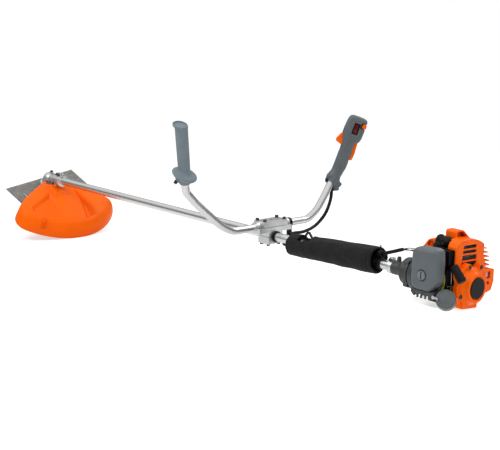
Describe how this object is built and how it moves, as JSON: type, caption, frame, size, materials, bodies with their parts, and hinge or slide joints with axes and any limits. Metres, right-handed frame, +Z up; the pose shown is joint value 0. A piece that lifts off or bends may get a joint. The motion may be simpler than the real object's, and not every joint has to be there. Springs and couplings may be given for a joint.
{
  "type": "petrol brush cutter",
  "caption": "Straight-shaft petrol brush cutter with bicycle handlebars, an enclosed bevel head with a bar blade, a half-round guard and a rear engine on its fuel tank.",
  "frame": {"origin": "on the ground under the middle of the whole machine", "axes": "+Z up, +X towards the engine and the operator, +Y to the side of the throttle handle (the machine stands with its shaft tube close to the X axis)"},
  "size_m": [1.9943, 0.7336, 0.4855],
  "materials": {
    "orange_plastic": "smooth orange moulded plastic",
    "grey_plastic": "blue-grey moulded plastic",
    "black_plastic": "black moulded plastic",
    "grey_rubber": "soft blue-grey grip rubber",
    "black_rubber": "black rubber",
    "fabric": "black padded fabric",
    "aluminium": "drawn tube with a satin surface",
    "cast_aluminium": "cast, matt",
    "steel": "machined",
    "blade_steel": "dark, lightly satin",
    "black_steel": "blackened screws",
    "dark_steel": "matt dark coating",
    "ceramic": "glazed insulator",
    "tank_plastic": "milky translucent plastic",
    "red_plastic": "red plastic",
    "fuel_hose": "clear yellow-green hose"
  },
  "bodies": {
    "frame": {"air_filter_base": "black_plastic", "air_filter_cover": "grey_plastic", "cable_clips": "black_plastic", "carburettor": "black_plastic", "clutch_housing": "black_plastic", "connecting_rod": "steel", "crankcase": "cast_aluminium", "cylinder_barrel": "cast_aluminium", "engine_cover": "orange_plastic", "fan_cover": "orange_plastic", "fuel_lines": "fuel_hose", "fuel_tank": "tank_plastic", "gear_case": "cast_aluminium", "guard": "orange_plastic", "guard_bracket": "steel", "handle_bracket": "cast_aluminium", "handle_shell_inner": "grey_plastic", "handle_shell_outer": "grey_plastic", "handlebars": "aluminium", "harness_hanger": "black_plastic", "head_bearings": "steel", "hip_pad": "fabric", "ignition_coil": "black_plastic", "left_grip": "grey_rubber", "line_cutter": "black_plastic", "muffler": "dark_steel", "piston": "cast_aluminium", "plug_cap": "black_rubber", "shaft_bushings": "black_plastic", "shaft_tube": "aluminium", "socket_screws": "black_steel", "spark_plug": "ceramic", "starter_badge": "black_plastic", "starter_housing": "orange_plastic", "tank_feet": "black_rubber", "throttle_conduit": "black_plastic", "tube_clamp": "cast_aluminium"},
    "spindle": {"output_gear": "steel", "output_shaft": "steel", "blade_holder": "steel", "blade": "blade_steel", "outer_flange": "steel", "stabilizer_cup": "steel", "blade_nut": "black_steel"},
    "drive": {"pinion_gear": "steel", "drive_shaft": "steel", "clutch_drum": "steel"},
    "crank": {"crankshaft": "steel", "flywheel": "cast_aluminium", "clutch_shoes": "dark_steel"},
    "pulley": {"starter_pulley": "black_plastic"},
    "pull_handle": {"starter_grip": "black_rubber"},
    "trigger": {"throttle_trigger": "orange_plastic"},
    "lockout": {"lockout_lever": "orange_plastic"},
    "switch": {"stop_switch": "red_plastic"},
    "start_lock": {"start_lock_button": "orange_plastic"},
    "primer": {"primer_bulb": "red_plastic"},
    "knob": {"filter_knob": "grey_plastic"},
    "choke": {"choke_lever": "steel"},
    "cap": {"fuel_cap": "grey_plastic"}
  },
  "joints": [
    {"name": "spindle_spin", "type": "hinge", "parent": "frame", "child": "spindle", "pos_m": [-0.91167, -0.00481, 0.19137], "axis": [-0.5348, 0, -0.845], "continuous": true},
    {"name": "drive_spin", "type": "hinge", "parent": "frame", "child": "drive", "pos_m": [-0.10434, -0.00481, 0.15852], "axis": [0.9992, 0, -0.0407], "continuous": true},
    {"name": "crank_spin", "type": "hinge", "parent": "frame", "child": "crank", "pos_m": [0.89484, -0.00481, 0.11787], "axis": [0.9992, 0, -0.0407], "continuous": true},
    {"name": "pulley_turn", "type": "hinge", "parent": "frame", "child": "pulley", "pos_m": [0.96078, -0.00481, 0.11519], "axis": [0.9992, 0, -0.0407], "range_deg": [0, 77], "stiffness_Nm_per_rad": 0.1, "springref_deg": -34.38},
    {"name": "starter_pull", "type": "slide", "parent": "frame", "child": "pull_handle", "axis": [0.1855, -0.9148, -0.3588], "range_m": [0, 0.06]},
    {"name": "trigger_pull", "type": "hinge", "parent": "frame", "child": "trigger", "pos_m": [0.26289, 0.32039, 0.42813], "axis": [0.7884, -0.6143, -0.0321], "range_deg": [0, 18], "stiffness_Nm_per_rad": 0.3, "springref_deg": -11.46},
    {"name": "lockout_press", "type": "hinge", "parent": "frame", "child": "lockout", "pos_m": [0.26641, 0.32656, 0.39675], "axis": [-0.7884, 0.6143, 0.0321], "range_deg": [0, 5], "stiffness_Nm_per_rad": 0.4, "springref_deg": -8.59},
    {"name": "stop_rock", "type": "hinge", "parent": "frame", "child": "switch", "pos_m": [0.28283, 0.32767, 0.43604], "axis": [0.5675, 0.7465, -0.3473], "range_deg": [0, 14]},
    {"name": "start_lock_press", "type": "slide", "parent": "frame", "child": "start_lock", "axis": [-0.5675, -0.7465, 0.3473], "range_m": [0, 0.004], "stiffness_N_per_m": 300, "springref_m": -0.002},
    {"name": "primer_press", "type": "slide", "parent": "frame", "child": "primer", "axis": [-0.9992, 0, 0.0407], "range_m": [0, 0.003], "stiffness_N_per_m": 300, "springref_m": -0.002},
    {"name": "filter_knob_turn", "type": "hinge", "parent": "frame", "child": "knob", "pos_m": [0.90517, -0.11781, 0.15048], "axis": [0, -1, 0], "range_deg": [0, 360]},
    {"name": "choke_turn", "type": "hinge", "parent": "frame", "child": "choke", "pos_m": [0.93515, -0.09981, 0.10021], "axis": [0, 1, 0], "range_deg": [0, 60]},
    {"name": "fuel_cap_turn", "type": "hinge", "parent": "frame", "child": "cap", "pos_m": [0.95589, -0.08681, 0.09337], "axis": [0.4702, -0.7517, 0.4624], "range_deg": [0, 360]}
  ],
  "couplings": [
    {"joint": "drive_spin", "follows": "spindle_spin", "ratio": -1.3571},
    {"joint": "starter_pull", "follows": "pulley_turn", "m_per_rad": 0.0445}
  ]
}
